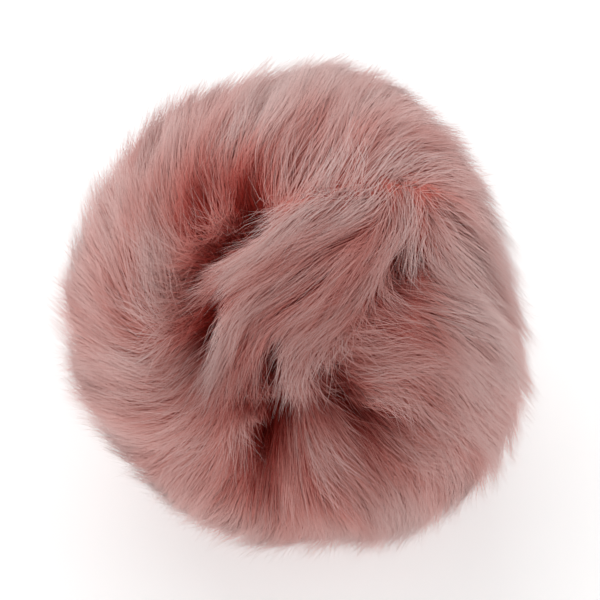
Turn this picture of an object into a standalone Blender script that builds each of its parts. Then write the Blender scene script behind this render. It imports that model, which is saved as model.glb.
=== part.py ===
"""A fur pom pom, about 90 mm across: a round of long dyed fur gathered and stuffed into one soft ball.

The fur is combed over from a crooked parting, so the ball is made of long locks that lie the way the
fur runs, with hollows where it parts, and it rests on a small flat spot. Metres, +Z up. The origin is
on the surface that the ball rests on, under its middle.
"""

import math

import bmesh
import bpy
import numpy as np

# The ball before it is flattened underneath, measured over the tips of the fur.
BALL_WIDTH = 0.087
BALL_DEPTH = 0.090
BALL_HEIGHT = 0.0875
FLAT_SPOT_RADIUS = 0.013

# The combed face looks forwards, towards -Y, and this far up from level.
FACE_TILT = math.radians(60)

# Locks of fur: long tapering ridges, like shingles, that rise from root to tip and then drop.
LOCK_COUNT = 150
LOCK_LENGTH = 0.028
LOCK_HALF_WIDTH = 0.0062
LOCK_HEIGHT = 0.0034
LOCK_TAPER = 0.60
LOCK_TIP_SHARE = 0.34

# Squares along each edge of the cube that is blown up into the ball: about 2.5 mm each on the ball.
SQUARES = 27

# Fur colour, linear, with the dry look of hair.
FUR_COLOUR = (0.42, 0.195, 0.18, 1.0)
FUR_ROUGHNESS = 0.85
FUR_SHEEN = 0.4

# Which way the tips of the fur point, at places on the combed face. across and up run from -1 to 1
# over the face, and heading is how the fur runs as seen from in front of the face, in degrees, 0 to
# the right and 90 up.
COMB = (
    # across, up, heading
    (-0.87, 0.00, 112),
    (-0.77, 0.24, 85),
    (-0.77, 0.50, 72),
    (-0.44, 0.52, 58),
    (-0.60, 0.03, 93),
    (-0.77, -0.22, 138),
    (-0.77, -0.42, 165),
    (-0.52, -0.45, 178),
    (-0.34, -0.69, 240),
    (-0.08, -0.67, 281),
    (0.22, -0.70, 321),
    (0.42, -0.62, 306),
    (0.55, -0.14, 311),
    (0.75, 0.36, 308),
    (0.85, 0.00, 288),
    (0.75, -0.30, 301),
    (0.63, 0.65, 350),
    (0.25, 0.88, 28),
    (0.00, 0.78, 45),
    (-0.28, 0.77, 52),
    (0.25, 0.66, 42),
    (0.42, 0.42, 230),
    (0.14, 0.36, 218),
    (-0.15, 0.19, 208),
    (0.14, 0.07, 216),
    (0.50, 0.10, 285),
    (-0.02, -0.10, 225),
    (-0.32, -0.12, 248),
    (-0.16, -0.28, 266),
    (0.05, -0.30, 272),
    (0.24, -0.24, 35),
    (0.42, -0.26, 325),
)
COMB_REACH = 0.19
# Away from the combed face the fur runs towards the back of the ball, and swirls clockwise round it as
# seen from in front of the face, this much for each part that it runs back.
BACK_SWIRL = 0.8
BACK_STRENGTH = 0.02

# Where the fur parts and the ball is hollow: a trough from one place on the face to another.
PARTINGS = (
    # across, up, to_across, to_up, half_width, depth
    (-0.24, 0.46, -0.20, 0.37, 0.0045, 0.0095),
    (-0.30, 0.35, -0.50, 0.13, 0.0052, 0.0055),
    (-0.41, 0.45, -0.55, 0.26, 0.0045, 0.0038),
    (-0.50, 0.13, -0.44, -0.09, 0.0045, 0.0048),
    (-0.39, -0.09, -0.41, -0.19, 0.0042, 0.0090),
    (-0.11, -0.23, -0.12, -0.31, 0.0038, 0.0055),
    (-0.06, -0.45, -0.17, -0.59, 0.0042, 0.0085),
    (-0.17, -0.59, -0.17, -0.70, 0.0042, 0.0070),
    (0.14, -0.35, 0.20, -0.43, 0.0040, 0.0080),
    (0.25, -0.52, 0.34, -0.47, 0.0045, 0.0075),
    (0.50, 0.20, 0.43, 0.00, 0.0048, 0.0050),
    (0.00, 0.56, 0.42, 0.60, 0.0050, 0.0022),
)

# Broad swells and flats of the ball's outline round the rim of the combed face.
SWELLS = (
    # across, up, half_width, height
    (0.70, -0.70, 0.022, 0.0032),
    (0.22, 0.97, 0.014, 0.0026),
    (-0.64, 0.76, 0.014, 0.0012),
    (-0.97, -0.18, 0.014, 0.0018),
    (0.94, 0.28, 0.020, -0.0034),
    (-0.80, -0.58, 0.012, -0.0006),
)

# The locks stand about half their height over this smooth ball.
HALF_SIDES = np.array((BALL_WIDTH, BALL_DEPTH, BALL_HEIGHT)) / 2 - LOCK_HEIGHT / 2
RADIUS = HALF_SIDES.mean()
FACE_RIGHT = np.array((1.0, 0.0, 0.0))
FACE_UP = np.array((0.0, math.sin(FACE_TILT), math.cos(FACE_TILT)))
FACE_OUT = np.array((0.0, -math.cos(FACE_TILT), math.sin(FACE_TILT)))


def smooth(share):
    """0 below 0, 1 above 1, and a smooth step between."""
    share = np.clip(share, 0.0, 1.0)
    return share * share * (3.0 - 2.0 * share)


def on_face(across, up):
    """The unit direction from the ball's middle to a place on the combed face."""
    out = math.sqrt(max(1.0 - across * across - up * up, 0.0))
    place = across * FACE_RIGHT + up * FACE_UP + out * FACE_OUT
    return place / np.linalg.norm(place)


def tangent(vector, direction):
    """The share of a vector that lies along the ball's surface at a direction, one unit long."""
    flat = vector - direction * (vector @ direction)
    return flat / max(np.linalg.norm(flat), 1e-9)


def fur_runs(direction):
    """The unit vector along the surface in which the fur lies at a direction from the middle."""
    away = tangent(-FACE_OUT, direction)
    total = BACK_STRENGTH * (away + BACK_SWIRL * np.cross(away, direction))
    for across, up, heading in COMB:
        place = on_face(across, up)
        turn = math.radians(heading)
        seen = math.cos(turn) * FACE_RIGHT + math.sin(turn) * FACE_UP
        lay = seen - FACE_OUT * (seen @ place) / (FACE_OUT @ place)
        lay = lay / np.linalg.norm(lay)
        apart = math.acos(min(max(float(place @ direction), -1.0), 1.0))
        total = total + math.exp(-((apart / COMB_REACH) ** 2)) * lay
    return tangent(total, direction)


def spread_over_ball(count):
    """Directions spread evenly over the ball, from top to bottom along a spiral."""
    golden_turn = math.pi * (3.0 - math.sqrt(5.0))
    for index in range(count):
        height = 1.0 - (2.0 * index + 1.0) / count
        ring = math.sqrt(1.0 - height * height)
        turn = index * golden_turn
        yield np.array((ring * math.cos(turn), ring * math.sin(turn), height))


def lock_relief(directions):
    """How far the locks of fur stand out, from 0 to LOCK_HEIGHT, at each direction."""
    relief = np.zeros(len(directions))
    for middle in spread_over_ball(LOCK_COUNT):
        lay = fur_runs(middle)
        along = directions @ lay * RADIUS / LOCK_LENGTH + 0.5
        across = directions @ np.cross(middle, lay) * RADIUS
        half_width = LOCK_HALF_WIDTH * (1.0 - LOCK_TAPER * np.clip(along, 0.0, 1.0))
        rise = smooth(along) * smooth((1.0 + LOCK_TIP_SHARE - along) / LOCK_TIP_SHARE)
        ridge = rise * np.exp(-((across / half_width) ** 2)) * (directions @ middle > 0.0)
        relief = np.maximum(relief, ridge)
    return LOCK_HEIGHT * relief


def parting_depth(directions):
    """How far the partings sink the surface at each direction."""
    depth = np.zeros(len(directions))
    for across, up, to_across, to_up, half_width, deepest in PARTINGS:
        start, end = on_face(across, up), on_face(to_across, to_up)
        run = end - start
        share = np.clip((directions - start) @ run / (run @ run), 0.0, 1.0)
        apart = np.linalg.norm(directions - start - share[:, None] * run, axis=1) * RADIUS
        depth = np.maximum(depth, deepest * np.exp(-((apart / half_width) ** 2)))
    return depth


def swell_height(directions):
    """How far the broad swells and flats move the surface at each direction."""
    height = np.zeros(len(directions))
    for across, up, half_width, most in SWELLS:
        apart = np.arccos(np.clip(directions @ on_face(across, up), -1.0, 1.0)) * RADIUS
        height += most * np.exp(-((apart / half_width) ** 2))
    return height


def surface_of_fur(directions):
    """The points where the fur ends, in each direction from the ball's middle."""
    ball = 1.0 / np.linalg.norm(directions / HALF_SIDES, axis=1)
    underside = smooth((directions[:, 2] + 0.95) / 0.25)
    relief = lock_relief(directions) - parting_depth(directions) + swell_height(directions)
    return directions * (ball + underside * relief)[:, None]


def blown_up_cube():
    """A cube of even squares whose corners lie on a ball of radius 1."""
    mesh = bmesh.new()
    bmesh.ops.create_cube(mesh, size=2.0)
    bmesh.ops.subdivide_edges(mesh, edges=mesh.edges[:], cuts=SQUARES - 1, use_grid_fill=True)
    for vertex in mesh.verts:
        vertex.co = [math.tan(side * math.pi / 4) for side in vertex.co]
        vertex.co.normalize()
    return mesh


def flatten_underside(mesh):
    """Cuts the ball level where its underside is a flat spot of the right size, and closes the cut."""
    half_height, half_width = HALF_SIDES[2], HALF_SIDES[0]
    level = -half_height * math.sqrt(1.0 - (FLAT_SPOT_RADIUS / half_width) ** 2)
    everything = mesh.verts[:] + mesh.edges[:] + mesh.faces[:]
    cut = bmesh.ops.bisect_plane(
        mesh, geom=everything, plane_co=(0.0, 0.0, level), plane_no=(0.0, 0.0, -1.0), clear_outer=True
    )
    rim = [item for item in cut["geom_cut"] if isinstance(item, bmesh.types.BMEdge)]
    bmesh.ops.edgeloop_fill(mesh, edges=rim)
    bmesh.ops.recalc_face_normals(mesh, faces=mesh.faces[:])


def stand_on_origin(mesh):
    """Moves the ball so that its flat spot is at Z 0 and its sides are as far from the Z axis."""
    points = np.array([vertex.co for vertex in mesh.verts])
    low, high = points.min(axis=0), points.max(axis=0)
    middle = (low + high) / 2
    bmesh.ops.translate(mesh, verts=mesh.verts[:], vec=(-middle[0], -middle[1], -low[2]))


def fur_material():
    """Dyed fur: dusty pink, dry, with a faint bloom from the loose tips."""
    material = bpy.data.materials.new("dyed_fur")
    material.use_nodes = True
    shader = material.node_tree.nodes["Principled BSDF"]
    shader.inputs["Base Color"].default_value = FUR_COLOUR
    shader.inputs["Roughness"].default_value = FUR_ROUGHNESS
    shader.inputs["Metallic"].default_value = 0.0
    shader.inputs["Sheen Weight"].default_value = FUR_SHEEN
    return material


def fur_ball():
    """The whole pom pom as one solid: ball, swells, partings, locks and flat spot."""
    mesh = blown_up_cube()
    directions = np.array([vertex.co for vertex in mesh.verts])
    for vertex, place in zip(mesh.verts, surface_of_fur(directions)):
        vertex.co = place
    flatten_underside(mesh)
    stand_on_origin(mesh)
    data = bpy.data.meshes.new("fur_ball")
    mesh.to_mesh(data)
    mesh.free()
    data.shade_smooth()
    data.materials.append(fur_material())
    ball = bpy.data.objects.new("fur_ball", data)
    bpy.context.scene.collection.objects.link(ball)
    return ball


for leftover in list(bpy.data.objects):
    bpy.data.objects.remove(leftover)
fur_ball()
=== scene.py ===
"""The looks of a long-haired fur pom pom: a ball of woolly underfur, and the dyed hair that covers it."""

import functools
import math

import bmesh
import bpy
import numpy as np
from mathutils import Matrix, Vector


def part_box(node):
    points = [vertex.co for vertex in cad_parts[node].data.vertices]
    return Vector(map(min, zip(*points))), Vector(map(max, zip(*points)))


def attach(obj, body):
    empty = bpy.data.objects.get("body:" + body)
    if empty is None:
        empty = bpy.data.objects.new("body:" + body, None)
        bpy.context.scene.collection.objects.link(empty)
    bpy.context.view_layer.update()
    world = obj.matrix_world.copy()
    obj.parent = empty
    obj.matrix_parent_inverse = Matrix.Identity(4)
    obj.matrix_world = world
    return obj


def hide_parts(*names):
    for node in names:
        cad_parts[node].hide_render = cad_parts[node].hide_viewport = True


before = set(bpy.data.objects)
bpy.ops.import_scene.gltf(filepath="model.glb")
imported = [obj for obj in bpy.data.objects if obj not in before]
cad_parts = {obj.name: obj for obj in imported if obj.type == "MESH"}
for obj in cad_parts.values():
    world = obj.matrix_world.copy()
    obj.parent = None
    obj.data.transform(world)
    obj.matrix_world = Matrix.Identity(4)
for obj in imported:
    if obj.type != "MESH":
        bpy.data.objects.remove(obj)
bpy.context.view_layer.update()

# ---------------------------------------------------------------------------------------------------
# The underfur. Woolly down, too fine and close to tell its hairs apart, that grows from the pelt
# between the roots of the long hair. The pelt is gathered and stuffed into a ball, so the down is a
# soft ball too, and it is hollow where the fur parts.

MIDDLE = np.array([(low + high) / 2 for low, high in zip(*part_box("fur_ball"))])
# How deep the down lies under the tips of the fur, and the streaks that the comb leaves in it.
UNDERFUR_DEPTH = 0.0050
STREAK_WIDTH = 0.0008
STREAK_LENGTH = 0.0070
STREAK_RELIEF = 0.0010
STREAK_STEPS = 9
STREAK_CONTRAST = 2.2
# The down's ends stand this far apart, and show this many times as much as the streaks. The two make
# the down paler by the second value, on top of the third.
DOWN_APART = 0.0004
ENDS_SHOW, DOWN_CONTRAST, DOWN_PALENESS = 1.2, 0.5, -0.12

# Painted light: the fur's colour is painted paler at the sides of the ball, as its rim catches the light,
# from the first to the second angle from the middle of the face. It is also paler on the crests where it
# falls to both sides.
SIDES_START, SIDES_END = 22.0, 60.0
PAINTED_SIDE_LIGHT = 0.16
CREST_PALENESS = 0.34

# The face of the ball from which the fur is combed looks towards -Y, and this far up from level.
FACE_TILT = math.radians(60)
FACE_RIGHT = np.array((1.0, 0.0, 0.0))
FACE_UP = np.array((0.0, math.sin(FACE_TILT), math.cos(FACE_TILT)))
FACE_OUT = np.array((0.0, -math.cos(FACE_TILT), math.sin(FACE_TILT)))

# Which way the tips of the fur point, at places on the face. across and up run from -1 to 1 over the
# face, and heading is how the fur runs as seen from in front of it, in degrees, 0 right and 90 up.
COMB = (
    # across, up, heading
    (-0.87, 0.00, 125),
    (-0.77, 0.24, 100),
    (-0.77, 0.50, 88),
    (-0.60, 0.72, 68),
    (-0.44, 0.52, 58),
    (-0.60, 0.03, 93),
    (-0.77, -0.22, 138),
    (-0.77, -0.42, 165),
    (-0.52, -0.45, 178),
    (-0.34, -0.69, 240),
    (-0.08, -0.67, 281),
    (0.22, -0.70, 321),
    (0.42, -0.62, 306),
    (0.55, -0.14, 311),
    (0.75, 0.36, 308),
    (0.85, 0.00, 288),
    (0.75, -0.30, 301),
    (0.63, 0.65, 350),
    (0.25, 0.88, 28),
    (0.00, 0.78, 45),
    (-0.28, 0.77, 52),
    (0.25, 0.66, 42),
    (0.42, 0.42, 230),
    (0.14, 0.36, 218),
    (-0.22, 0.57, 52),
    (-0.02, 0.62, 46),
    (-0.10, 0.36, 218),
    (-0.15, 0.19, 220),
    (-0.30, 0.24, 222),
    (-0.39, 0.10, 230),
    (-0.47, 0.02, 252),
    (-0.32, -0.04, 236),
    (0.14, 0.07, 216),
    (0.38, 0.18, 228),
    (0.27, 0.00, 224),
    (0.58, 0.10, 306),
    (0.47, 0.02, 340),
    (0.40, -0.12, 338),
    (-0.02, -0.10, 225),
    (-0.32, -0.12, 248),
    (-0.30, -0.28, 262),
    (-0.16, -0.28, 274),
    (0.05, -0.30, 282),
    (-0.10, -0.41, 292),
    (0.24, -0.24, 35),
    (0.42, -0.26, 320),
    (0.46, 0.36, 236),
)
# How far a place of the table has its say, in radians, and how firmly the fur keeps to its line
# where it parts.
COMB_REACH = 0.17
KEPT_LINE = 1.5
# Away from the face the fur runs towards the back of the ball, and swirls clockwise round it as seen
# from in front of the face, this much for each part that it runs back.
BACK_SWIRL = 0.8
BACK_STRENGTH = 0.02
# The comb misses by a little from place to place, so that the fur falls into locks.
WOBBLE = 0.35
WOBBLE_WIDTH = 0.0075

# Where the fur parts and lets the eye down into it: how far the underfur sinks there, from one place
# on the face to another.
HOLLOWS = (
    # across, up, to_across, to_up, half_width, depth
    (-0.25, 0.47, -0.21, 0.37, 0.0038, 0.0100),
    (-0.30, 0.33, -0.47, 0.11, 0.0044, 0.0060),
    (-0.43, 0.50, -0.51, 0.34, 0.0028, 0.0050),
    (-0.54, 0.12, -0.50, -0.06, 0.0028, 0.0042),
    (-0.36, 0.02, -0.41, -0.15, 0.0030, 0.0100),
    (-0.38, -0.31, -0.13, -0.42, 0.0018, 0.0048),
    (-0.10, -0.20, -0.12, -0.31, 0.0028, 0.0055),
    (-0.04, -0.43, 0.15, -0.41, 0.0018, 0.0048),
    (-0.06, -0.45, -0.17, -0.59, 0.0028, 0.0085),
    (-0.17, -0.59, -0.17, -0.70, 0.0028, 0.0070),
    (0.13, -0.30, 0.19, -0.42, 0.0030, 0.0070),
    (0.25, -0.52, 0.34, -0.47, 0.0034, 0.0075),
    (0.53, 0.22, 0.36, -0.10, 0.0032, 0.0042),
)
DEEPEST = max(depth for *line, depth in HOLLOWS)
# Tufts stand up in a hollow, this far apart. It has the first share of its depth under a tuft, and
# that and the second between two.
HOLLOW_TUFTS_APART = 0.0026
TUFT_DEPTH, MORE_BETWEEN_TUFTS = 0.55, 0.75
# A hollow's edge is where it has this share of the greatest depth. It is looked for in short steps.
EDGE_SHARE = 0.35
ROOM_STEP = 0.0025
ROOM_STEPS = 8
# Fur stands up where a hollow, or a parting combed less clearly than this, is this close behind it.
UPRIGHT_REACH = 0.0100
LEAST_COMBED = 0.12

# Where the fur is ruffled and short instead of combed, from 0 to 1.
RUFFLED = (
    # across, up, half_width, ruffle
    (-0.38, 0.38, 0.0070, 0.8),
    (-0.42, 0.26, 0.0080, 0.9),
    (-0.48, 0.10, 0.0070, 0.8),
    (-0.40, -0.20, 0.0060, 0.6),
    (-0.17, -0.34, 0.0085, 0.9),
    (0.08, -0.35, 0.0080, 0.9),
    (0.32, -0.42, 0.0080, 0.9),
)
# Long hair is sparser in the deepest hollow by this share. Short hair grows where the fur is ruffled,
# hollow or parted, and a little everywhere.
SPARSER_IN_HOLLOWS = 0.75
SHORT_IN_RUFFLES, SHORT_IN_HOLLOWS, SHORT_IN_PARTINGS = 1.4, 0.6, 0.35
LEAST_SHORT = 0.08

# Painted light and shade: locks on top painted paler than the fur round them, locks under it darker.
LOCK_LIGHT_AND_SHADE = (
    # across, up, to_across, to_up, half_width, pale
    (0.14, 0.46, -0.20, 0.21, 0.0020, 0.28),
    (-0.20, 0.21, -0.46, 0.04, 0.0017, 0.28),
    (-0.26, 0.66, -0.05, 0.92, 0.0018, 0.22),
    (0.01, -0.53, 0.26, -0.75, 0.0020, 0.25),
    (-0.66, 0.55, -0.80, 0.25, 0.0060, 0.12),
    (-0.12, 0.56, 0.18, 0.83, 0.0020, -0.22),
    (-0.38, 0.62, -0.10, 0.60, 0.0030, 0.20),
    (0.76, 0.30, 0.78, -0.25, 0.0070, 0.12),
    (0.16, 0.16, -0.02, -0.02, 0.0016, -0.20),
    (0.10, -0.02, 0.30, 0.16, 0.0014, -0.18),
    (0.64, 0.18, 0.62, -0.12, 0.0100, 0.22),
    (0.20, 0.52, 0.50, 0.50, 0.0040, 0.10),
    (-0.04, -0.66, 0.10, -0.68, 0.0080, -0.20),
    (-0.15, 0.86, 0.20, 0.84, 0.0090, 0.28),
    (-0.27, 0.50, -0.22, 0.40, 0.0045, -0.10),
    (0.40, 0.54, 0.46, 0.50, 0.0035, 0.10),
)


def on_face(across, up):
    """The unit direction from the middle of the ball to a place on its face."""
    out = math.sqrt(max(1.0 - across * across - up * up, 0.0))
    place = across * FACE_RIGHT + up * FACE_UP + out * FACE_OUT
    return place / np.linalg.norm(place)


def one_long(vectors):
    """The same vectors, each made one unit long."""
    return vectors / np.maximum(np.linalg.norm(vectors, axis=-1, keepdims=True), 1e-9)


def smooth_noise(points, seed):
    """Smooth random values from 0 to 1 in space, one bump to each unit.

    Each corner of a grid has its own value, made from its place by multiplying by large odd numbers
    and folding the bits over, and the values between corners are blended.
    """
    corner = np.floor(points).astype(np.int64)
    share = points - corner
    share = share * share * (3.0 - 2.0 * share)
    total = np.zeros(len(points))
    for step in np.ndindex(2, 2, 2):
        at = corner + np.array(step)
        mixed = (at @ np.array((73856093, 19349663, 83492791)) + seed * 2654435761) & 0xFFFFFFFF
        mixed = ((mixed ^ (mixed >> 15)) * 2246822519) & 0xFFFFFFFF
        mixed = ((mixed ^ (mixed >> 13)) * 3266489917) & 0xFFFFFFFF
        weight = np.prod(np.where(np.array(step) == 1, share, 1.0 - share), axis=1)
        total += weight * (mixed ^ (mixed >> 16)) / 0xFFFFFFFF
    return total


def lay_of_fur(directions, radius):
    """The unit vectors in which the fur lies at directions from the middle, and how well it is combed.

    The second is 1 where the fur around all lies one way, and 0 where it parts and so stands up.
    """
    away = one_long(-FACE_OUT - directions * (directions @ -FACE_OUT)[:, None])
    total = BACK_STRENGTH * one_long(away + BACK_SWIRL * np.cross(away, directions))
    spread = total[:, :, None] * total[:, None, :] / BACK_STRENGTH
    most = np.full(len(directions), BACK_STRENGTH)
    for across, up, heading in COMB:
        place = on_face(across, up)
        turn = math.radians(heading)
        seen = math.cos(turn) * FACE_RIGHT + math.sin(turn) * FACE_UP
        lay = one_long(seen - FACE_OUT * (seen @ place) / (FACE_OUT @ place))
        weight = np.exp(-((np.arccos(np.clip(directions @ place, -1.0, 1.0)) / COMB_REACH) ** 2))
        total = total + weight[:, None] * lay
        spread = spread + weight[:, None, None] * np.outer(lay, lay)
        most = most + weight
    total = total - directions * (total * directions).sum(axis=1)[:, None]
    combed = np.linalg.norm(total, axis=1) / most
    # Where the fur parts, it still lies along one line on both sides, so the line is kept there.
    flat = np.eye(3) - directions[:, :, None] * directions[:, None, :]
    shares, lines = np.linalg.eigh(flat @ spread @ flat)
    line = lines[:, :, 2] * np.sign((lines[:, :, 2] * total).sum(axis=1))[:, None]
    clear = (1.0 - combed) * (1.0 - shares[:, 1] / shares[:, 2])
    total = total / most[:, None] + KEPT_LINE * clear[:, None] * line
    wobble = [smooth_noise(directions * radius / WOBBLE_WIDTH, seed) - 0.5 for seed in (11, 12, 13)]
    total = one_long(total) + 2.0 * WOBBLE * combed[:, None] * np.stack(wobble, axis=1)
    return one_long(total - directions * (total * directions).sum(axis=1)[:, None]), combed


def near_line(directions, radius, across, up, to_across, to_up, half_width):
    """How near each direction is to a line from one place on the face to another, 1 on it and 0 far away."""
    start, end = on_face(across, up), on_face(to_across, to_up)
    run = end - start
    along = np.clip((directions - start) @ run / (run @ run), 0.0, 1.0)
    apart = np.linalg.norm(directions - start - along[:, None] * run, axis=1) * radius
    return np.exp(-((apart / half_width) ** 2))


def hollow_of_fur(directions, radius):
    """How far the underfur sinks at each direction: unevenly, because tufts stand up in the hollows."""
    sunk = np.zeros(len(directions))
    for *line, depth in HOLLOWS:
        sunk = np.maximum(sunk, depth * near_line(directions, radius, *line))
    tufts = smooth_noise(directions * radius / HOLLOW_TUFTS_APART, 21)
    return sunk * (TUFT_DEPTH + MORE_BETWEEN_TUFTS * tufts)


def painted_light_of_locks(directions, radius):
    """How much light or shade is painted on the locks, paler or darker than the fur round them, at each
    direction.
    """
    pale = np.zeros(len(directions))
    for *line, most in LOCK_LIGHT_AND_SHADE:
        pale += most * near_line(directions, radius, *line)
    return pale


def ruffle_of_fur(directions, radius):
    """How ruffled the fur is at each direction, from 0 to 1."""
    ruffle = np.zeros(len(directions))
    for across, up, half_width, most in RUFFLED:
        apart = np.arccos(np.clip(directions @ on_face(across, up), -1.0, 1.0)) * radius
        ruffle = np.maximum(ruffle, most * np.exp(-((apart / half_width) ** 2)))
    return ruffle


def room_along(directions, radius, way, least_combed=0.0):
    """How far the fur runs on (way 1) or back (way -1) before a hollow, or before it is combed too little."""
    room = np.full(len(directions), ROOM_STEPS * ROOM_STEP)
    found = np.zeros(len(directions), dtype=bool)
    ahead = directions
    for step in range(ROOM_STEPS):
        lay, combed = lay_of_fur(ahead, radius)
        ahead = one_long(ahead + way * lay * ROOM_STEP / radius)
        edge = (hollow_of_fur(ahead, radius) > EDGE_SHARE * DEEPEST) | (combed < least_combed)
        room[edge & ~found] = step * ROOM_STEP
        found |= edge
    return room


def streaks_of_fur(directions, lay, radius):
    """Streaks from 0 to 1 that run with the fur: noise, evened out along the way that the fur lies."""
    total = np.zeros(len(directions))
    for step in range(STREAK_STEPS):
        shift = (step / (STREAK_STEPS - 1) - 0.5) * STREAK_LENGTH / radius
        total += smooth_noise((directions + shift * lay) * radius / STREAK_WIDTH, 1)
    return np.clip(0.5 + (total / STREAK_STEPS - 0.5) * STREAK_CONTRAST, 0.0, 1.0)


def form_of_ball(name, splits, smoothing):
    """A ball like the CAD one's mesh, but merged, with each edge split, and smoothed some times over."""
    form = bmesh.new()
    form.from_mesh(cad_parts["fur_ball"].data)
    bmesh.ops.remove_doubles(form, verts=form.verts[:], dist=1e-6)
    bmesh.ops.subdivide_edges(form, edges=form.edges[:], cuts=splits, use_grid_fill=True)
    for _ in range(smoothing):
        bmesh.ops.smooth_vert(
            form, verts=form.verts[:], factor=0.5, use_axis_x=True, use_axis_y=True, use_axis_z=True
        )
    mesh = bpy.data.meshes.new(name)
    form.to_mesh(mesh)
    form.free()
    mesh.shade_smooth()
    ball = bpy.data.objects.new(name, mesh)
    bpy.context.scene.collection.objects.link(ball)
    return ball


def points_of(ball):
    """Where the points of a ball's mesh are, from the middle of the ball."""
    return np.array([vertex.co for vertex in ball.data.vertices]) - MIDDLE


def remember(ball, label, value):
    """Stores a number or a vector at every point of a ball's mesh, under a label."""
    kind, field = ("FLOAT_VECTOR", "vector") if value.ndim == 2 else ("FLOAT", "value")
    stored = ball.data.attributes.new(label, kind, "POINT")
    stored.data.foreach_set(field, value.astype(np.float32).ravel())


def linear(hex_colour):
    """An sRGB hex colour as linear red, green, blue and alpha."""
    colour = []
    for place in (1, 3, 5):
        share = int(hex_colour[place:place + 2], 16) / 255
        colour.append(share / 12.92 if share <= 0.04045 else ((share + 0.055) / 1.055) ** 2.4)
    return colour + [1.0]


def add(tree, kind, inputs=(), output=0, **settings):
    """Adds a node with its settings, links or sets its inputs by place or name, and gives one output."""
    made = tree.nodes.new(kind)
    for name, value in settings.items():
        setattr(made, name, value)
    for place, value in inputs.items() if isinstance(inputs, dict) else enumerate(inputs):
        if isinstance(value, bpy.types.NodeSocket):
            tree.links.new(value, made.inputs[place])
        else:
            made.inputs[place].default_value = value
    return made if output is None else made.outputs[output]


def set_ramp(ramp, stops):
    """Gives a colour ramp its stops, each a place from 0 to 1 and an sRGB hex colour."""
    for place, colour in stops[1:-1]:
        ramp.color_ramp.elements.new(place)
    for element, (place, colour) in zip(ramp.color_ramp.elements, stops):
        element.position = place
        element.color = linear(colour)


def woolly_down():
    """Dyed down: dull and matt and dusty pink, with shade painted in as a deep wine red where it has sunk
    into a hollow.
    """
    material = bpy.data.materials.new("dyed_woolly_down")
    material.use_nodes = True
    tree = material.node_tree
    shader = tree.nodes["Principled BSDF"]
    streak = add(tree, "ShaderNodeAttribute", output="Fac", attribute_name="streak")
    sunk = add(tree, "ShaderNodeAttribute", output="Fac", attribute_name="sunk")
    place = add(tree, "ShaderNodeTexCoord", output="Object")
    ends = add(tree, "ShaderNodeTexNoise", {"Vector": place, "Scale": 1 / DOWN_APART, "Detail": 3.0}, "Fac")
    # It is palest at its ends and along the streaks. Shade is painted in where it has sunk into a hollow: the
    # deeper, the darker and redder.
    mixed = add(tree, "ShaderNodeMath", (ends, ENDS_SHOW, streak), operation="MULTIPLY_ADD")
    pale = add(tree, "ShaderNodeMath", (mixed, DOWN_CONTRAST, DOWN_PALENESS), operation="MULTIPLY_ADD")
    pale = add(tree, "ShaderNodeMath", (pale, sunk), operation="SUBTRACT", use_clamp=True)
    ramp = add(tree, "ShaderNodeValToRGB", {0: pale}, None)
    set_ramp(ramp, ((0.0, "#8C241B"), (0.3, "#E07064"), (0.65, "#F29F94"), (1.0, "#F7C3BB")))
    bump = add(tree, "ShaderNodeBump", {"Height": ends, "Distance": DOWN_APART, "Strength": 1.0}, "Normal")
    tree.links.new(ramp.outputs[0], shader.inputs["Base Color"])
    tree.links.new(bump, shader.inputs["Normal"])
    shader.inputs["Roughness"].default_value = 0.95
    shader.inputs["IOR"].default_value = 1.5
    shader.inputs["Specular IOR Level"].default_value = 0.1
    return material


# The outer form is the smooth surface that the tips of the hair lie under. It only guides the hair.
outer_form = form_of_ball("outer_form", 1, 4)
points = points_of(outer_form)
ball_radius = np.linalg.norm(points, axis=1).mean()
remember(outer_form, "lay", lay_of_fur(one_long(points), ball_radius)[0])

underfur = form_of_ball("underfur", 2, 8)
points = points_of(underfur)
directions = one_long(points)
lay, combed = lay_of_fur(directions, ball_radius)
sunk = hollow_of_fur(directions, ball_radius)
share_sunk = sunk / DEEPEST
streak = streaks_of_fur(directions, lay, ball_radius)
depth = UNDERFUR_DEPTH + sunk + (0.5 - streak) * STREAK_RELIEF
underfur.data.vertices.foreach_set("co", (MIDDLE + points - directions * depth[:, None]).ravel())

ruffle = ruffle_of_fur(directions, ball_radius)
patches = SHORT_IN_RUFFLES * ruffle + SHORT_IN_HOLLOWS * np.sqrt(share_sunk)
patches += SHORT_IN_PARTINGS * (1.0 - combed)
angle = np.degrees(np.arccos(directions @ FACE_OUT))
side = np.clip((angle - SIDES_START) / (SIDES_END - SIDES_START), 0.0, 1.0)
# Painted light: paler towards the sides of the ball, where its rim catches the light.
pale = PAINTED_SIDE_LIGHT * side + CREST_PALENESS * (1.0 - combed) * (1.0 - share_sunk)
# Painted light and shade along the locks.
pale += painted_light_of_locks(directions, ball_radius)
behind = room_along(directions, ball_radius, -1, LEAST_COMBED)
for label, value in (
    ("streak", streak),
    ("sunk", share_sunk),
    ("thickness", 1.0 - SPARSER_IN_HOLLOWS * sunk / DEEPEST),
    ("patches", np.clip(patches, LEAST_SHORT, 1.0)),
    ("combed", combed),
    ("pale", pale),
    ("room", room_along(directions, ball_radius, 1)),
    # Fur with none behind it to press it down stands up.
    ("upright", 1.0 - np.clip(behind / UPRIGHT_REACH, 0.0, 1.0)),
    ("ruffle", ruffle),
):
    remember(underfur, label, value)
underfur.data.materials.append(woolly_down())

# ---------------------------------------------------------------------------------------------------
# The fur. Fine rabbit-type hair that grows from the pelt, dyed dusty pink and pale at its tips, with shade
# painted in as a darker red where it lies deep, as its roots do. It is combed over, and gathers into wisps,
# and the wisps into tufts. It is made in coats laid through one another.

COATS = 4
HAIRS_IN_COAT = 19600
# A hair is drawn this many times as thick as it is wide, with its broad side outwards.
FLATNESS = 0.4

MATHS = "ShaderNodeMath"
VECTORS = "ShaderNodeVectorMath"
RANDOM = "FunctionNodeRandomValue"
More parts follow.
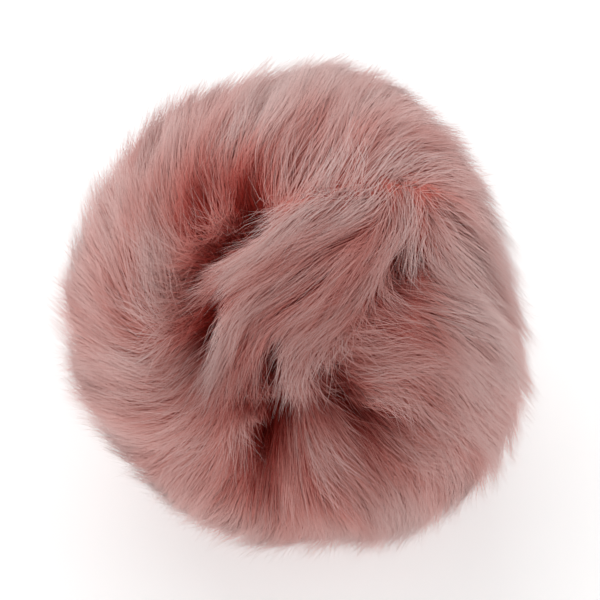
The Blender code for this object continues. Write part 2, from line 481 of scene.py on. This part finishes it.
# What each root and each point of a hair remembers.
REMEMBERED = {
    "hair": "INT",
    "rank": "INT",
    "root": "FLOAT_VECTOR",
    "root_radius": "FLOAT",
    "reach": "FLOAT",
    "depth": "FLOAT",
    "turn": "FLOAT",
    "curl": "FLOAT",
    "astray": "FLOAT_VECTOR",
    "tone": "FLOAT",
    "fade": "FLOAT",
    "ruffle": "FLOAT",
    "lift": "FLOAT",
    "sunk": "FLOAT",
    "combed": "FLOAT",
    "pale": "FLOAT",
    "room": "FLOAT",
    "upright": "FLOAT",
    "lay": "FLOAT_VECTOR",
}


def started(name, inputs, outputs):
    """An empty tree with its named inputs and outputs.

    It comes with what adds nodes to it, its inputs, its result, and what its points remember.
    """
    tree = bpy.data.node_groups.new(name, "GeometryNodeTree")
    for way, sockets in (("INPUT", inputs), ("OUTPUT", outputs)):
        for label, kind in sockets:
            tree.interface.new_socket(name=label, in_out=way, socket_type="NodeSocket" + kind)
    put = functools.partial(add, tree)
    memory = {
        label: put("GeometryNodeInputNamedAttribute", {"Name": label}, data_type=kind)
        for label, kind in REMEMBERED.items()
    }
    return tree, put, put("NodeGroupInput", output=None).outputs, put("NodeGroupOutput", output=None), memory


# The shortest hair has the first share of the longest one's length. Ruffled hair is shorter by up to
# the second share, and hair on a parting by up to the third, between two values of how it is combed.
SHORTEST, RUFFLED_SHORTER, PARTED_SHORTER = 0.6, 0.5, 0.15
SHORTER_FROM, SHORTER_TO = 0.2, 0.8
# Hair reaches up to this far over the edge of a hollow.
OVERHANG = 0.005
# How far from its own place a hair may act as if it grew, in radii, on a parting and where the fur is
# well combed. So on a parting some hairs fall to one side, and some to the other.
ASTRAY_PARTED, ASTRAY_COMBED = 0.090, 0.015
ASTRAY_FROM, ASTRAY_TO = 0.4, 0.9
# In a hollow, the tips lie under the outer form by this share of how far the underfur has sunk.
TIPS_SUNK = 0.5
# Few hairs lift far off the coat or lie deep in it: their lots are raised to these powers.
FEW_LIFT, FEW_DEEP = 2.0, 1.3
# How much further ruffled hair turns from the comb, and how much it curls at each point. Any hair
# curls at each point by up to the last share of what it may turn.
RUFFLED_TURN, RUFFLED_CURL, CURL_SHARE = 0.9, 0.35, 0.5


def roots_with_traits(put, given, memory):
    """The roots, each with what its hair will be like: drawn by lot, and changed by where it stands."""
    position = put("GeometryNodeInputPosition")
    # Each lot is drawn with a seed of its own, from 0 or -1 up to 1.
    least = {"length": 0, "burial": 0, "turn": -1, "curl": -1, "tone": 0, "overhang": 0, "lift": 0}
    seeds = {trait: put(MATHS, (given["Seed"], nth), operation="ADD") for nth, trait in enumerate(least)}
    lots = {trait: put(RANDOM, {2: least[trait], 3: 1.0, "Seed": seeds[trait]}, 1) for trait in least}

    shorter = put(MATHS, (memory["ruffle"], -RUFFLED_SHORTER, 1.0), operation="MULTIPLY_ADD")
    longest = put(MATHS, (given["Reach"], shorter), operation="MULTIPLY")
    share = put(MATHS, (lots["length"], 1.0 - SHORTEST, SHORTEST), operation="MULTIPLY_ADD")
    wanted = put(MATHS, (longest, share), operation="MULTIPLY")
    parted = put("ShaderNodeMapRange",
                 {"Value": memory["combed"], "From Min": SHORTER_FROM, "From Max": SHORTER_TO,
                  "To Min": 1.0 - PARTED_SHORTER, "To Max": 1.0})
    wanted = put(MATHS, (wanted, parted), operation="MULTIPLY")
    overhang = put(MATHS, (lots["overhang"], OVERHANG, memory["room"]), operation="MULTIPLY_ADD")

    unsure = put("ShaderNodeMapRange",
                 {"Value": memory["combed"], "From Min": ASTRAY_FROM, "From Max": ASTRAY_TO,
                  "To Min": ASTRAY_PARTED, "To Max": ASTRAY_COMBED})
    any_way = put(RANDOM, {0: (-1.0, -1.0, -1.0), 1: (1.0, 1.0, 1.0), "Seed": seeds["lift"]}, 0,
                  data_type="FLOAT_VECTOR")
    astray = put(VECTORS, {0: any_way, "Scale": unsure}, operation="SCALE")
    root_radius = put(VECTORS, (position, given["Middle"]), "Value", operation="DISTANCE")
    moved = put(VECTORS, {0: astray, "Scale": root_radius}, operation="SCALE")

    lift = put(MATHS, (lots["lift"], FEW_LIFT), operation="POWER")
    burial = put(MATHS, (lots["burial"], FEW_DEEP), operation="POWER")
    burial = put(MATHS, (given["Depth"], burial), operation="MULTIPLY")
    wander = put(MATHS, (memory["ruffle"], RUFFLED_TURN, given["Stray turn"]), operation="MULTIPLY_ADD")
    curl = put(MATHS, (lots["curl"], CURL_SHARE), operation="MULTIPLY")
    curl = put(MATHS, (curl, wander), operation="MULTIPLY")
    ruffled_curl = put(MATHS, (memory["ruffle"], RUFFLED_CURL), operation="MULTIPLY")
    roots = given["Roots"]
    for label, value in (
        ("hair", put("GeometryNodeInputIndex")),
        ("root", put(VECTORS, (moved, position), operation="ADD")),
        ("root_radius", root_radius),
        ("astray", astray),
        ("reach", put(MATHS, (wanted, overhang), operation="MINIMUM")),
        ("depth", put(MATHS, (memory["sunk"], TIPS_SUNK * DEEPEST, burial), operation="MULTIPLY_ADD")),
        ("lift", put(MATHS, (lift, given["Lift"]), operation="MULTIPLY")),
        ("turn", put(MATHS, (lots["turn"], wander), operation="MULTIPLY")),
        ("curl", put(MATHS, (curl, ruffled_curl), operation="ADD")),
        ("tone", lots["tone"]),
    ):
        roots = put("GeometryNodeStoreNamedAttribute", {"Geometry": roots, "Name": label, "Value": value},
                    data_type=REMEMBERED[label], domain="POINT")
    return roots


# How far a hair has run on along the ball goes as the first power of the share of it that is behind,
# and how far it has still to rise as the second of the share ahead. Where it stands up, more is added
# to both, so that it rises sooner and bends over later.
RUN, UPRIGHT_RUN = 1.3, 0.6
RISE, UPRIGHT_RISE = 1.2, 2.0
# A hair lifts off the coat mostly at its tip, as this power of the share of it that lies behind.
TIP_LIFT = 2.0


def next_place(put, given, memory, step, steps):
    """Where a hair's points from this step on are put: one stride further along the comb.

    Outwards, they go from the root towards the outer form, and lift off it near the tip.
    """
    position = put("GeometryNodeInputPosition")
    rays = {"Target Geometry": given["Outer form"], "Source Position": given["Middle"], "Ray Length": 1.0}
    out = put(VECTORS, (position, given["Middle"]), operation="SUBTRACT")
    out = put(VECTORS, (out,), operation="NORMALIZE")
    aside = put(VECTORS, (memory["astray"], out), operation="ADD")
    here = put("GeometryNodeRaycast", {**rays, "Attribute": memory["lay"], "Ray Direction": aside}, None,
               data_type="FLOAT_VECTOR")

    before = put(MATHS, (step, steps), operation="DIVIDE")
    after = put(MATHS, (put(MATHS, (step, 1.0), operation="ADD"), steps), operation="DIVIDE")
    slow = put(MATHS, (memory["upright"], UPRIGHT_RUN, RUN), operation="MULTIPLY_ADD")
    gone = [put(MATHS, (share, slow), operation="POWER") for share in (before, after)]
    part = put(MATHS, (gone[1], gone[0]), operation="SUBTRACT")
    angle = put(MATHS, (memory["curl"], step, memory["turn"]), operation="MULTIPLY_ADD")
    heading = put("ShaderNodeVectorRotate",
                  {"Vector": here.outputs["Attribute"], "Axis": out, "Angle": angle})
    stride = put(MATHS, (memory["reach"], here.outputs["Hit Distance"]), operation="DIVIDE")
    stride = put(MATHS, (stride, part), operation="MULTIPLY")
    onward = put(VECTORS, {0: heading, "Scale": stride}, operation="SCALE")
    onward = put(VECTORS, (put(VECTORS, (out, onward), operation="ADD"),), operation="NORMALIZE")

    ahead = put("GeometryNodeRaycast", {**rays, "Ray Direction": onward}, "Hit Distance")
    steep = put(MATHS, (memory["upright"], UPRIGHT_RISE, RISE), operation="MULTIPLY_ADD")
    to_go = put(MATHS, (put(MATHS, (1.0, after), operation="SUBTRACT"), steep), operation="POWER")
    lifting = put(MATHS, (after, TIP_LIFT), operation="POWER")
    lifted = put(MATHS, (lifting, memory["lift"], ahead), operation="MULTIPLY_ADD")
    outer = put(MATHS, (lifted, memory["depth"]), operation="SUBTRACT")
    radius = put("ShaderNodeMix", {0: to_go, 2: outer, 3: memory["root_radius"]})
    place = put(VECTORS, {0: onward, "Scale": radius}, operation="SCALE")
    return put(VECTORS, (place, given["Middle"]), operation="ADD")


def grown_hairs():
    """Root points become hairs: each rises out of the underfur and runs on over the ball with the comb."""
    tree, put, given, result, memory = started(
        "grown_hairs",
        [("Roots", "Geometry"), ("Outer form", "Geometry"), ("Middle", "Vector"), ("Points", "Int"),
         ("Reach", "Float"), ("Depth", "Float"), ("Lift", "Float"), ("Stray turn", "Float"), ("Seed", "Int")],
        [("Hairs", "Geometry"), ("Roots", "Geometry")],
    )
    roots = roots_with_traits(put, given, memory)
    copies = put("GeometryNodeDuplicateElements", {"Geometry": roots, "Amount": given["Points"]}, None,
                 domain="POINT")
    ranked = put("GeometryNodeStoreNamedAttribute",
                 {"Geometry": copies.outputs[0], "Name": "rank", "Value": copies.outputs[1]},
                 data_type="INT", domain="POINT")
    hairs = put("GeometryNodePointsToCurves",
                {"Points": ranked, "Curve Group ID": memory["hair"], "Weight": memory["rank"]})

    start = put("GeometryNodeRepeatInput", output=None)
    end = put("GeometryNodeRepeatOutput", output=None)
    start.pair_with_output(end)
    steps = put(MATHS, (given["Points"], 1.0), operation="SUBTRACT")
    tree.links.new(steps, start.inputs["Iterations"])
    tree.links.new(hairs, start.inputs["Geometry"])
    step = start.outputs["Iteration"]
    place = next_place(put, given, memory, step, steps)
    later = put("FunctionNodeCompare", {2: memory["rank"], 3: step}, data_type="INT",
                operation="GREATER_THAN")
    moved = put("GeometryNodeSetPosition",
                {"Geometry": start.outputs["Geometry"], "Selection": later, "Position": place})
    tree.links.new(moved, end.inputs["Geometry"])
    tree.links.new(end.outputs["Geometry"], result.inputs["Hairs"])
    tree.links.new(roots, result.inputs["Roots"])
    return tree


# The least keen hair is drawn to its leader by this share of what the keenest is. The pull rises
# quickly from the root, as this power of the share of the hair that lies behind.
LEAST_KEEN = 0.6
PULL_RISE = 0.6


def gathered_hairs():
    """Hairs draw in towards the nearest leading hair, more and more towards their tips."""
    tree, put, given, result, memory = started(
        "gathered_hairs",
        [("Hairs", "Geometry"), ("Leaders", "Geometry"), ("Leader roots", "Geometry"), ("Points", "Int"),
         ("Gather", "Float"), ("Tightness", "Float"), ("Same tone", "Float"), ("Seed", "Int")],
        [("Hairs", "Geometry")],
    )
    nearest = put("GeometryNodeSampleNearest",
                  {"Geometry": given["Leader roots"], "Sample Position": memory["root"]}, domain="POINT")
    leader = {
        label: put("GeometryNodeSampleIndex",
                   {"Geometry": given["Leader roots"], "Value": memory[label], "Index": nearest},
                   data_type=REMEMBERED[label], domain="POINT")
        for label in ("root", "reach", "tone")
    }
    steps = put(MATHS, (given["Points"], 1.0), operation="SUBTRACT")
    along = put(MATHS, (memory["rank"], steps), operation="DIVIDE")
    ratio = put(MATHS, (memory["reach"], leader["reach"]), operation="DIVIDE")
    factor = put(MATHS, (along, ratio), operation="MULTIPLY", use_clamp=True)
    led = put("GeometryNodeSampleCurve",
              {"Curves": given["Leaders"], "Factor": factor, "Curve Index": nearest}, "Position",
              mode="FACTOR", use_all_curves=False)
    apart = put(VECTORS, (memory["root"], leader["root"]), operation="SUBTRACT")
    tight = put(MATHS, (along, given["Tightness"]), operation="MULTIPLY")
    loose = put(MATHS, (tight, -1.0, 1.0), operation="MULTIPLY_ADD")
    beside = put(VECTORS, {0: apart, "Scale": loose}, operation="SCALE")
    target = put(VECTORS, (led, beside), operation="ADD")
    keen = put(RANDOM, {2: LEAST_KEEN, 3: 1.0, "ID": memory["hair"], "Seed": given["Seed"]}, 1)
    pull = put(MATHS, (along, PULL_RISE), operation="POWER")
    pull = put(MATHS, (pull, given["Gather"]), operation="MULTIPLY")
    pull = put(MATHS, (pull, keen), operation="MULTIPLY")
    place = put("ShaderNodeMix", {0: pull, 4: put("GeometryNodeInputPosition"), 5: target}, 1,
                data_type="VECTOR")
    moved = put("GeometryNodeSetPosition", {"Geometry": given["Hairs"], "Position": place})
    tone = put("ShaderNodeMix", {0: given["Same tone"], 2: memory["tone"], 3: leader["tone"]})
    toned = put("GeometryNodeStoreNamedAttribute", {"Geometry": moved, "Name": "tone", "Value": tone},
                data_type="FLOAT", domain="POINT")
    tree.links.new(toned, result.inputs["Hairs"])
    return tree


# More roots to a square metre than tufts and wisps can have, so that their spacing alone decides.
TUFT_CROWD, WISP_CROWD = 2e6, 2e7
# The most that a tuft, a wisp in it and a hair in that turn from the comb, in radians.
TUFT_TURN, WISP_TURN, HAIR_TURN = 0.50, 0.40, 0.25
# A wisp keeps to its tuft by this share of how a hair keeps to its wisp.
WISP_GATHER = 0.7
# Frizz waves about this many times to a metre, and fully ruffled fur has this many times more of it.
WAVES_PER_METRE = 260.0
RUFFLED_FRIZZ = 4.0
# Hair that would go below the floor lies this far above it.
CLEAR_OF_FLOOR = 0.0002
# Shade is painted into the hair by how deep it lies: its paleness is the first value at the outer form,
# less the second for each metre under it, but never under the third, and its tips are paler by the fourth.
OUTER_PALENESS, PAINTED_SHADE_PER_METRE, LEAST_PALENESS, TIP_PALENESS = 0.67, 0.50 / 0.0045, 0.24, 0.20
# A hair thins from the root, as this power of the share of it that lies behind.
THINNING = 0.8
# How much of the map's width one hair's strip takes up, and how much of it all strips together.
STRIP_WIDTH, STRIPS_WIDTH = 0.01, 0.98


def hairs_of_coat(put, given, outer, grown, gathered):
    """The hairs of a coat, gathered into wisps that are gathered into tufts."""
    common = {label: given[label] for label in ("Middle", "Points", "Reach", "Depth", "Lift")}
    common["Outer form"] = outer
    spaced = {}
    for kind, crowd, seed in (("Tuft", TUFT_CROWD, 1), ("Wisp", WISP_CROWD, 2)):
        spaced[kind] = put("GeometryNodeDistributePointsOnFaces",
                           {"Mesh": given["Geometry"], "Distance Min": given[kind + " spacing"],
                            "Density Max": crowd, "Seed": seed}, distribute_method="POISSON")
    tufts = put("GeometryNodeGroup", {"Roots": spaced["Tuft"], **common, "Stray turn": TUFT_TURN, "Seed": 10},
                None, node_tree=grown)
    wisps = put("GeometryNodeGroup", {"Roots": spaced["Wisp"], **common, "Stray turn": WISP_TURN, "Seed": 20},
                None, node_tree=grown)
    led_wisps = put("GeometryNodeGroup",
                    {"Hairs": wisps.outputs["Hairs"], "Leaders": tufts.outputs["Hairs"],
                     "Leader roots": tufts.outputs["Roots"], "Points": given["Points"],
                     "Gather": put(MATHS, (given["Gather"], WISP_GATHER), operation="MULTIPLY"),
                     "Tightness": 0.4, "Same tone": 0.5, "Seed": 30}, node_tree=gathered)

    thickness = put("GeometryNodeInputNamedAttribute", {"Name": given["Thickness"]}, data_type="FLOAT")
    density = put(MATHS, (given["Hairs per square metre"], thickness), operation="MULTIPLY")
    seed = put(MATHS, (given["Seed"], 100.0), operation="ADD")
    roots = put("GeometryNodeDistributePointsOnFaces",
                {"Mesh": given["Geometry"], "Density": density, "Seed": seed}, distribute_method="RANDOM")
    hairs = put("GeometryNodeGroup", {"Roots": roots, **common, "Stray turn": HAIR_TURN, "Seed": seed}, None,
                node_tree=grown)
    return put("GeometryNodeGroup",
               {"Hairs": hairs.outputs["Hairs"], "Leaders": led_wisps,
                "Leader roots": wisps.outputs["Roots"], "Points": given["Points"],
                "Gather": given["Gather"], "Tightness": 0.6, "Same tone": 0.75, "Seed": seed},
               node_tree=gathered)


def frizzed_hairs(put, given, memory, hairs, along):
    """The hairs with a little frizz, more of it towards their tips, and all kept above the floor."""
    position = put("GeometryNodeInputPosition")
    waves = put("ShaderNodeTexNoise",
                {"Vector": position, "W": memory["tone"], "Scale": WAVES_PER_METRE, "Detail": 1.0}, "Color",
                noise_dimensions="4D")
    waves = put(VECTORS, (waves, (0.5, 0.5, 0.5)), operation="SUBTRACT")
    ruffled = put(MATHS, (memory["ruffle"], RUFFLED_FRIZZ, 1.0), operation="MULTIPLY_ADD")
    amount = put(MATHS, (along, given["Frizz"]), operation="MULTIPLY")
    amount = put(MATHS, (amount, ruffled), operation="MULTIPLY")
    shift = put(VECTORS, {0: waves, "Scale": amount}, operation="SCALE")
    frizzed = put("GeometryNodeSetPosition", {"Geometry": hairs, "Offset": shift})
    above = put(VECTORS, (position, (-1.0, -1.0, CLEAR_OF_FLOOR)), operation="MAXIMUM")
    return put("GeometryNodeSetPosition", {"Geometry": frizzed, "Position": above})


def coat_of_fur(grown, gathered):
    """Tufts, the wisps in them, and the hairs in the wisps, as thin tapering three-sided rods."""
    tree, put, given, result, memory = started(
        "coat_of_fur",
        [("Geometry", "Geometry"), ("Outer form", "Object"), ("Middle", "Vector"),
         ("Hairs per square metre", "Float"), ("Thickness", "String"), ("Points", "Int"),
         ("Tuft spacing", "Float"), ("Wisp spacing", "Float"), ("Reach", "Float"), ("Depth", "Float"),
         ("Lift", "Float"), ("Hair width", "Float"), ("Frizz", "Float"), ("Gather", "Float"),
         ("Softness", "Float"), ("Seed", "Int"), ("Material", "Material")],
        [("Geometry", "Geometry")],
    )
    outer = put("GeometryNodeObjectInfo", {"Object": given["Outer form"]}, "Geometry",
                transform_space="RELATIVE")
    steps = put(MATHS, (given["Points"], 1.0), operation="SUBTRACT")
    along = put(MATHS, (memory["rank"], steps), operation="DIVIDE")
    hairs = hairs_of_coat(put, given, outer, grown, gathered)
    hairs = frizzed_hairs(put, given, memory, hairs, along)

    # How pale a hair is at each point: shade painted in by how far it lies under the outer form, and paler
    # tips.
    from_middle = put(VECTORS, (put("GeometryNodeInputPosition"), given["Middle"]), operation="SUBTRACT")
    out = put(VECTORS, (from_middle,), operation="NORMALIZE")
    outside = put("GeometryNodeRaycast", {"Target Geometry": outer, "Source Position": given["Middle"],
                                          "Ray Direction": out, "Ray Length": 1.0}, "Hit Distance")
    reached = put(VECTORS, (from_middle,), "Value", operation="LENGTH")
    under = put(MATHS, (outside, reached), operation="SUBTRACT")
    fade = put(MATHS, (under, -PAINTED_SHADE_PER_METRE, OUTER_PALENESS), operation="MULTIPLY_ADD")
    fade = put(MATHS, (fade, LEAST_PALENESS), operation="MAXIMUM")
    fade = put(MATHS, (along, TIP_PALENESS, fade), operation="MULTIPLY_ADD", use_clamp=True)
    shaded_hairs = put("GeometryNodeStoreNamedAttribute", {"Geometry": hairs, "Name": "fade", "Value": fade},
                data_type="FLOAT", domain="POINT")

    # The rods: a flat three-sided ring, drawn along each hair, and drawn in to a point at its tip.
    thinned = put(MATHS, (along, THINNING), operation="POWER")
    taper = put(MATHS, (thinned, -1.0, 1.0), operation="MULTIPLY_ADD")
    half_width = put(MATHS, (given["Hair width"], 0.5), operation="MULTIPLY")
    half_width = put(MATHS, (half_width, taper), operation="MULTIPLY")
    ring = put("GeometryNodeCurvePrimitiveCircle", {"Resolution": 3, "Radius": 1.0})
    round_ring = put("GeometryNodeSplineParameter", output="Factor")
    sided = put("GeometryNodeStoreNamedAttribute", {"Geometry": ring, "Name": "side", "Value": round_ring},
                data_type="FLOAT", domain="POINT")
    flat_ring = put("GeometryNodeTransform", {"Geometry": sided, "Scale": (FLATNESS, 1.0, 1.0)})
    tangent = put("GeometryNodeInputTangent")
    leant = put(VECTORS, (out, tangent), "Value", operation="DOT_PRODUCT")
    squared = put(VECTORS, {0: tangent, "Scale": leant}, operation="SCALE")
    squared = put(VECTORS, (squared, out), operation="SUBTRACT")
    broad_side = put(VECTORS, (squared,), operation="NORMALIZE")
    facing = put("GeometryNodeSetCurveNormal", {"Curve": shaded_hairs, "Normal": broad_side}, mode="FREE")
    rods = put("GeometryNodeCurveToMesh",
               {"Curve": facing, "Profile Curve": flat_ring, "Scale": half_width, "Fill Caps": True})
    pointed = put("GeometryNodeMergeByDistance", {"Geometry": rods, "Distance": 1e-7})

    # Each hair has its own narrow strip of the map: its tone across, and from dark up to pale, with light
    # and shade painted in. Hair that grows in a hollow has shade painted in, darker by how far it has sunk.
    side = put("GeometryNodeInputNamedAttribute", {"Name": "side"}, data_type="FLOAT")
    across = put(MATHS, (side, STRIP_WIDTH, memory["tone"]), operation="MULTIPLY_ADD")
    pale = put(MATHS, (memory["fade"], memory["sunk"]), operation="SUBTRACT")
    pale = put(MATHS, (memory["pale"], pale), operation="ADD", use_clamp=True)
    strip = put("ShaderNodeCombineXYZ", {"X": across, "Y": pale})
    strip = put(VECTORS, (strip, (STRIPS_WIDTH, 1.0, 0.0)), operation="MULTIPLY")
    mapped = put("GeometryNodeStoreNamedAttribute", {"Geometry": pointed, "Name": "OFBake", "Value": strip},
                 data_type="FLOAT2", domain="CORNER")
    # Fine hair scatters light as one soft surface, so its shading leans towards that of the whole ball.
    leaning = put("ShaderNodeMix", {0: given["Softness"], 4: put("GeometryNodeInputNormal"), 5: out}, 1,
                  data_type="VECTOR")
    soft = put("GeometryNodeSetMeshNormal", {"Mesh": mapped, "Custom Normal": leaning}, mode="FREE",
               domain="POINT")
    real = put("GeometryNodeRealizeInstances", {"Geometry": soft})
    finished = put("GeometryNodeSetMaterial", {"Geometry": real, "Material": given["Material"]})
    tree.links.new(finished, result.inputs["Geometry"])
    return tree


# The darkest hair has the first share of its colour's lightness, and the lightest that and the second.
DARKEST_HAIR, HAIR_TONES = 0.92, 0.14


def dyed_hair():
    """Dyed rabbit hair: dusty pink, pale at the tip, with a soft bloom, and darker red where shade is painted
    in.

    Each hair is a little lighter or darker than the next, as dye takes unevenly.
    """
    material = bpy.data.materials.new("dyed_rabbit_hair")
    material.use_nodes = True
    tree = material.node_tree
    shader = tree.nodes["Principled BSDF"]
    strip = add(tree, "ShaderNodeUVMap", uv_map="OFBake")
    parts = add(tree, "ShaderNodeSeparateXYZ", {"Vector": strip}, None)
    # The map's Y is the hair's paleness with painted light and shade in it, so the ramp's dark red end is
    # painted shade.
    ramp = add(tree, "ShaderNodeValToRGB", {0: parts.outputs["Y"]}, None)
    stops = ((0.0, "#AE3026"), (0.25, "#DA7268"), (0.5, "#F09D93"), (0.75, "#F6C0B9"), (1.0, "#F8D7D2"))
    set_ramp(ramp, stops)
    value = add(tree, MATHS, (parts.outputs["X"], HAIR_TONES, DARKEST_HAIR), operation="MULTIPLY_ADD")
    toned = add(tree, "ShaderNodeHueSaturation", {"Value": value, "Color": ramp.outputs["Color"]})
    tree.links.new(toned, shader.inputs["Base Color"])
    shader.inputs["Roughness"].default_value = 0.8
    shader.inputs["IOR"].default_value = 1.55
    shader.inputs["Specular IOR Level"].default_value = 0.1
    shader.inputs["Sheen Weight"].default_value = 0.2
    shader.inputs["Sheen Roughness"].default_value = 0.4
    shader.inputs["Sheen Tint"].default_value = linear("#F4DEDB")
    return material


def made_of(tree, base, name, values):
    """A plain mesh made by a tree from a base piece, with the tree's named inputs set."""
    maker = bpy.data.objects.new(name + "_maker", base.data.copy())
    bpy.context.scene.collection.objects.link(maker)
    nodes = maker.modifiers.new("tree", "NODES")
    nodes.node_group = tree
    sockets = {item.name: item.identifier for item in tree.interface.items_tree if item.in_out == "INPUT"}
    for label, value in values.items():
        nodes[sockets[label]] = value
    depsgraph = bpy.context.evaluated_depsgraph_get()
    mesh = bpy.data.meshes.new_from_object(
        maker.evaluated_get(depsgraph), preserve_all_data_layers=True, depsgraph=depsgraph
    )
    mesh.name = name
    bpy.data.objects.remove(maker)
    piece = bpy.data.objects.new(name, mesh)
    bpy.context.scene.collection.objects.link(piece)
    return piece


hair = dyed_hair()
coat_tree = coat_of_fur(grown_hairs(), gathered_hairs())
skin_area = sum(face.area for face in underfur.data.polygons)
# A hair is drawn as root, bend and tip, and 0.16 mm wide at its root, where a real one is 0.02 to
# 0.05 mm, so that as few as a piece can hold still cover the ball.
long_fur = {
    "Outer form": outer_form,
    "Middle": tuple(MIDDLE),
    "Hairs per square metre": HAIRS_IN_COAT / skin_area,
    "Thickness": "thickness",
    "Points": 3,
    "Tuft spacing": 0.0060,
    "Wisp spacing": 0.0021,
    "Reach": 0.021,
    "Depth": 0.0028,
    "Lift": 0.0060,
    "Hair width": 0.00016,
    "Frizz": 0.0010,
    "Gather": 0.85,
    "Softness": 0.92,
    "Material": hair,
}
# Short hair fills the ruffled places and the hollows.
short_fur = {
    **long_fur,
    "Hairs per square metre": 2.6e6,
    "Thickness": "patches",
    "Tuft spacing": 0.0035,
    "Reach": 0.009,
    "Frizz": 0.0012,
    "Gather": 0.7,
}
coats = {f"long_fur_{coat + 1}": {**long_fur, "Seed": coat} for coat in range(COATS)}
coats["short_fur"] = {**short_fur, "Seed": COATS}
# A few long single hairs stand loose of the coats.
coats["stray_hairs"] = {
    **long_fur,
    "Hairs per square metre": 4.0e4,
    "Thickness": "patches",
    "Points": 12,
    "Reach": 0.026,
    "Lift": 0.0040,
    "Hair width": 0.00008,
    "Frizz": 0.0080,
    "Gather": 0.0,
    "Seed": COATS + 1,
}
for name, values in coats.items():
    fur = made_of(coat_tree, underfur, name, values)
    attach(fur, "root")

bpy.data.objects.remove(outer_form)
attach(underfur, "root")
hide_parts("fur_ball")

# ---------------------------------------------------------------------------------------------------
# The stage: a white card floor, three big soft lights above, left and right of the ball, and the
# camera that looks down on its face.

# A ball this wide takes up this share of the view, which is aimed a little off the ball's middle.
BALL_IN_VIEW = 0.090
VIEW_SHARE = 0.815
AIM_RIGHT, AIM_UP = 0.0007, 0.0004
# Millimetres, as lenses are named.
LENS = 85.0
SENSOR = 36.0
FLOOR_HALF_SIDE = 3.0
FLOOR_GLOW = 0.43
ROOM_LIGHT = 0.40
SOFTBOX_SIDE = 0.8
SOFTBOX_AWAY = 1.0


def white_card():
    """Matt white card: it shows soft shadows, and glows a little, as a card lit from behind does."""
    material = bpy.data.materials.new("white_card")
    material.use_nodes = True
    shader = material.node_tree.nodes["Principled BSDF"]
    shader.inputs["Base Color"].default_value = linear("#F3F3F3")
    shader.inputs["Roughness"].default_value = 0.9
    shader.inputs["Emission Color"].default_value = linear("#FFFFFF")
    shader.inputs["Emission Strength"].default_value = FLOOR_GLOW
    return material


floor_mesh = bmesh.new()
bmesh.ops.create_grid(floor_mesh, x_segments=1, y_segments=1, size=FLOOR_HALF_SIDE)
floor_data = bpy.data.meshes.new("floor")
floor_mesh.to_mesh(floor_data)
floor_mesh.free()
floor_data.materials.append(white_card())
floor = bpy.data.objects.new("floor", floor_data)
bpy.context.scene.collection.objects.link(floor)

world = bpy.data.worlds.new("white_studio")
world.use_nodes = True
world.node_tree.nodes["Background"].inputs["Color"].default_value = linear("#FFFFFF")
world.node_tree.nodes["Background"].inputs["Strength"].default_value = ROOM_LIGHT
bpy.context.scene.world = world
bpy.context.scene.view_settings.view_transform = "Standard"


def softbox(name, azimuth, elevation, power):
    """A square soft light aimed at the ball, from an azimuth and elevation in degrees and with its watts.

    Azimuth 0 is in front of the ball, and 90 on its right.
    """
    turn, rise = math.radians(azimuth), math.radians(elevation)
    away = np.array((math.cos(rise) * math.sin(turn), -math.cos(rise) * math.cos(turn), math.sin(rise)))
    light = bpy.data.lights.new(name, "AREA")
    light.shape = "SQUARE"
    light.size = SOFTBOX_SIDE
    light.energy = power
    lamp = bpy.data.objects.new(name, light)
    lamp.location = MIDDLE + away * SOFTBOX_AWAY
    lamp.rotation_euler = Vector(-away).to_track_quat("-Z", "Y").to_euler()
    bpy.context.scene.collection.objects.link(lamp)


softbox("key_softbox", 200.0, 50.0, 3.7)
softbox("left_softbox", 275.0, 22.0, 1.9)
softbox("right_softbox", 100.0, 22.0, 2.3)

camera = bpy.data.cameras.new("camera")
camera.lens = LENS
camera.sensor_width = SENSOR
viewer = bpy.data.objects.new("camera", camera)
distance = BALL_IN_VIEW / VIEW_SHARE * LENS / SENSOR
viewer.location = MIDDLE + FACE_OUT * distance + FACE_RIGHT * AIM_RIGHT + FACE_UP * AIM_UP
viewer.rotation_euler = Vector(-FACE_OUT).to_track_quat("-Z", "Y").to_euler()
bpy.context.scene.collection.objects.link(viewer)
bpy.context.scene.camera = viewer
